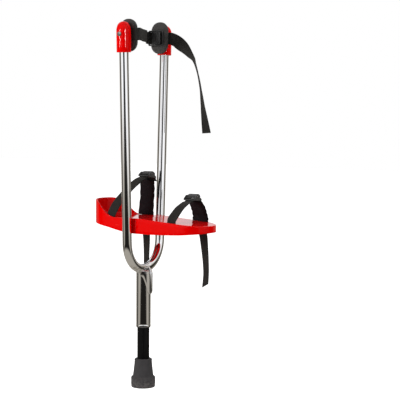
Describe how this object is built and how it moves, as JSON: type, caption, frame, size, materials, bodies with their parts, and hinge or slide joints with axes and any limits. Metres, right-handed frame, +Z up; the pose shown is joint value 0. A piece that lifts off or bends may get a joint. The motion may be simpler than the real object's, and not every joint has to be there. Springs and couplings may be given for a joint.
{
  "type": "strap-on spring stilt",
  "caption": "Bent-tube stilt for one leg on a sprung rubber foot, with a footplate, two foot straps and a padded calf strap.",
  "frame": {"origin": "centre of the rubber foot's ground face", "axes": "+Z up the leg, X across the two arms, the wearer's toes point along -Y"},
  "size_m": [0.1816, 0.275, 0.7502],
  "materials": {
    "chrome_tube": "bright polished chrome plating",
    "black_enamel": "satin black enamel on steel",
    "red_plastic": "glossy moulded red plastic",
    "grey_rubber": "matt moulded grey rubber",
    "pad_foam": "closed-cell foam with a fine pebbled skin",
    "webbing": "black polypropylene webbing, ribbed weave",
    "padded_fabric": "black padded fabric with a stitched edge",
    "buckle_plastic": "black moulded nylon, slightly satin",
    "black_plastic": "black moulded plastic",
    "zinc_steel": "zinc-plated steel",
    "spring_steel": "oiled spring steel"
  },
  "bodies": {
    "frame": {"u_frame_tube": "chrome_tube", "leg_sleeve": "chrome_tube", "gusset_saddle": "chrome_tube", "gusset_rib": "chrome_tube", "guide_bush": "black_plastic", "spring_seat": "spring_steel", "compression_spring": "spring_steel", "footplate": "red_plastic", "plate_bracket": "zinc_steel", "frame_bolt_left": "zinc_steel", "frame_bolt_right": "zinc_steel", "plate_screw_left": "zinc_steel", "plate_screw_right": "zinc_steel", "arm_cap_left": "red_plastic", "arm_cap_right": "red_plastic", "pad_backing_left": "black_plastic", "pad_backing_right": "black_plastic", "calf_pad_left": "pad_foam", "calf_pad_right": "pad_foam", "cap_screw_left": "zinc_steel", "cap_screw_right": "zinc_steel", "cap_nut_left": "zinc_steel", "cap_nut_right": "zinc_steel", "calf_strap": "webbing", "calf_buckle_frame": "buckle_plastic", "calf_buckle_pin": "zinc_steel", "rear_strap_near": "webbing", "rear_strap_rivet": "zinc_steel", "rear_buckle_frame": "buckle_plastic", "rear_buckle_pin": "zinc_steel", "rear_instep_pad": "padded_fabric", "rear_strap_tail": "webbing", "front_strap_near": "webbing", "front_strap_rivet": "zinc_steel", "front_buckle_frame": "buckle_plastic", "front_buckle_pin": "zinc_steel", "front_instep_pad": "padded_fabric", "front_strap_tail": "webbing"},
    "plunger": {"plunger_tube": "black_enamel", "plunger_collar": "spring_steel", "ferrule": "grey_rubber", "ferrule_washer": "zinc_steel"},
    "calf_lever": {"calf_buckle_lever": "buckle_plastic"},
    "rear_lever": {"rear_buckle_lever": "buckle_plastic"},
    "front_lever": {"front_buckle_lever": "buckle_plastic"}
  },
  "joints": [
    {"name": "spring_travel", "type": "slide", "parent": "frame", "child": "plunger", "axis": [0, 0, 1], "range_m": [0, 0.03], "stiffness_N_per_m": 15000, "springref_m": -0.01, "deforming": ["compression_spring"]},
    {"name": "calf_buckle_release", "type": "hinge", "parent": "frame", "child": "calf_lever", "pos_m": [0.04238, 0.004, 0.717], "axis": [0, 0, -1], "range_deg": [0, 70]},
    {"name": "rear_buckle_release", "type": "hinge", "parent": "frame", "child": "rear_lever", "pos_m": [0.00422, -0.0045, 0.44078], "axis": [0, -1, 0], "range_deg": [0, 70]},
    {"name": "front_buckle_release", "type": "hinge", "parent": "frame", "child": "front_lever", "pos_m": [0.00136, -0.116, 0.39811], "axis": [0, -1, 0], "range_deg": [0, 70]}
  ]
}
